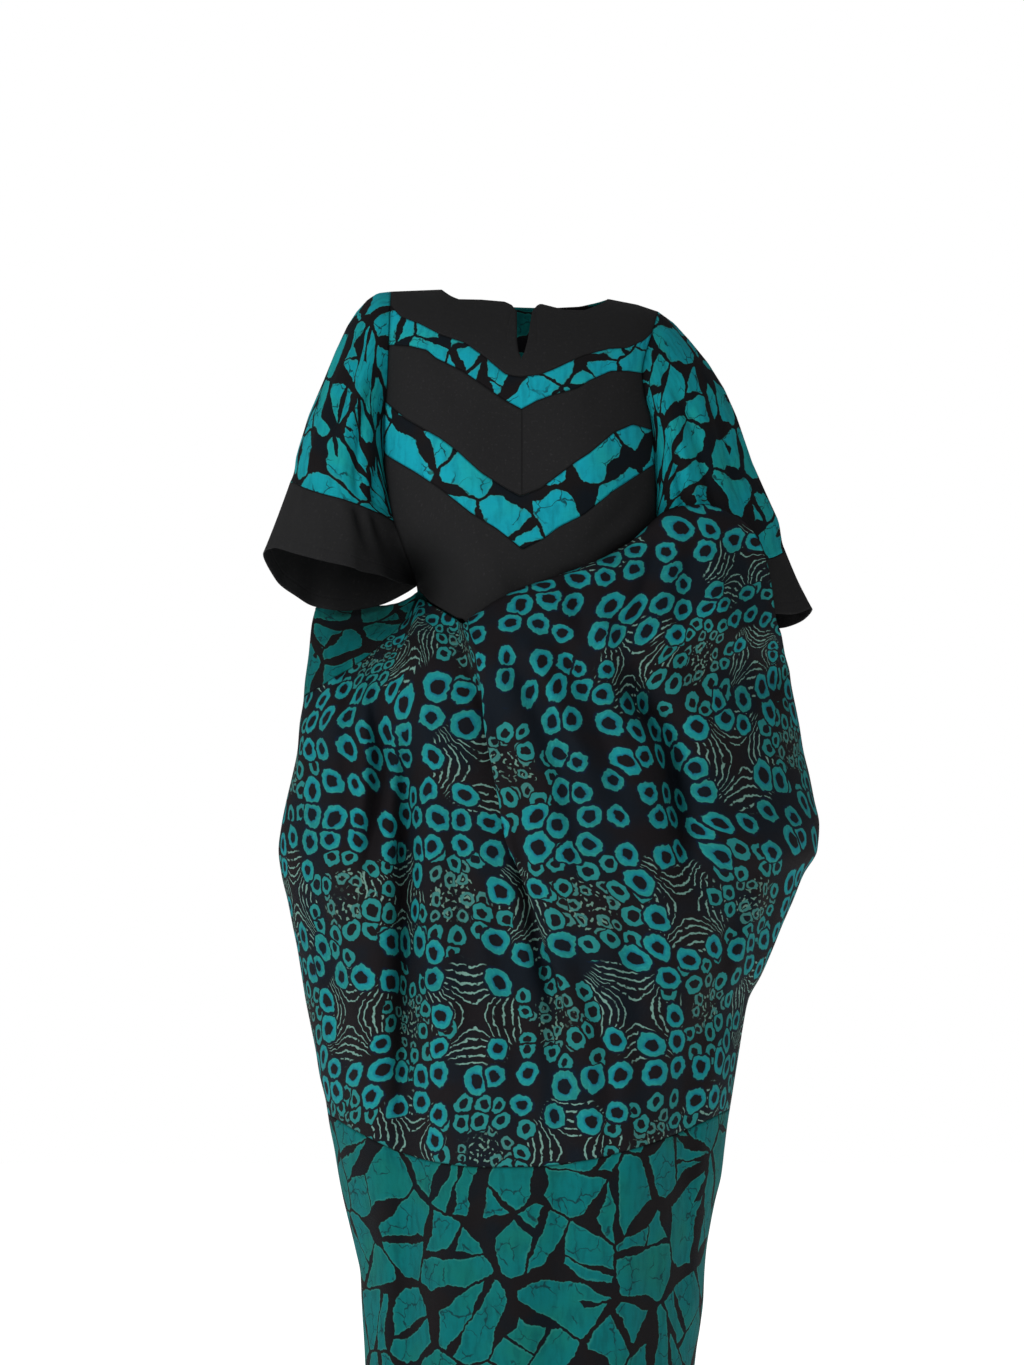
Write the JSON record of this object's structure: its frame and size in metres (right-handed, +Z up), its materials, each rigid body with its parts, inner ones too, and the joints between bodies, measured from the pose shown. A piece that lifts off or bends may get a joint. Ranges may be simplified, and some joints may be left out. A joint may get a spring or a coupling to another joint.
{
  "type": "grand boubou robe",
  "caption": "Worn ankle-length boubou robe, chevron front panels, slit round neck, wide cuffed sleeves; the printed cloth is drawn up over one arm.",
  "frame": {"origin": "mount wearer_hold, level with the shoulder line at the middle of the neck, on the plane between front and back", "axes": "+Z up, +X to the wearer's left, +Y behind the wearer"},
  "size_m": [0.5965, 0.3746, 1.3809],
  "materials": {
    "front_yoke_cloth": "matt woven cotton",
    "chevron_upper_cloth": "matt cotton printed with broken teal pieces on black",
    "front_chest_cloth": "matt woven cotton",
    "chevron_lower_cloth": "matt cotton printed with broken teal pieces on black",
    "front_midriff_cloth": "matt woven cotton",
    "front_side_right_cloth": "matt cotton printed with broken teal pieces on black",
    "front_body_cloth": "matt cotton printed with teal rings on black",
    "front_border_cloth": "matt cotton printed with broken teal pieces on black",
    "back_upper_cloth": "matt cotton printed with broken teal pieces on black",
    "back_body_cloth": "matt cotton printed with teal rings on black",
    "back_border_cloth": "matt cotton printed with broken teal pieces on black",
    "sleeve_right_cloth": "matt cotton printed with broken teal pieces on black",
    "cuff_right_cloth": "matt woven cotton",
    "sleeve_left_cloth": "matt cotton printed with broken teal pieces on black",
    "cuff_left_cloth": "matt woven cotton"
  },
  "bodies": {
    "root": {"front_yoke": "front_yoke_cloth", "chevron_upper": "chevron_upper_cloth", "front_chest": "front_chest_cloth", "chevron_lower": "chevron_lower_cloth", "front_midriff": "front_midriff_cloth", "front_side_right": "front_side_right_cloth", "front_body": "front_body_cloth", "front_border": "front_border_cloth", "back_upper": "back_upper_cloth", "back_body": "back_body_cloth", "back_border": "back_border_cloth", "sleeve_right": "sleeve_right_cloth", "cuff_right": "cuff_right_cloth", "sleeve_left": "sleeve_left_cloth", "cuff_left": "cuff_left_cloth"}
  },
  "joints": []
}
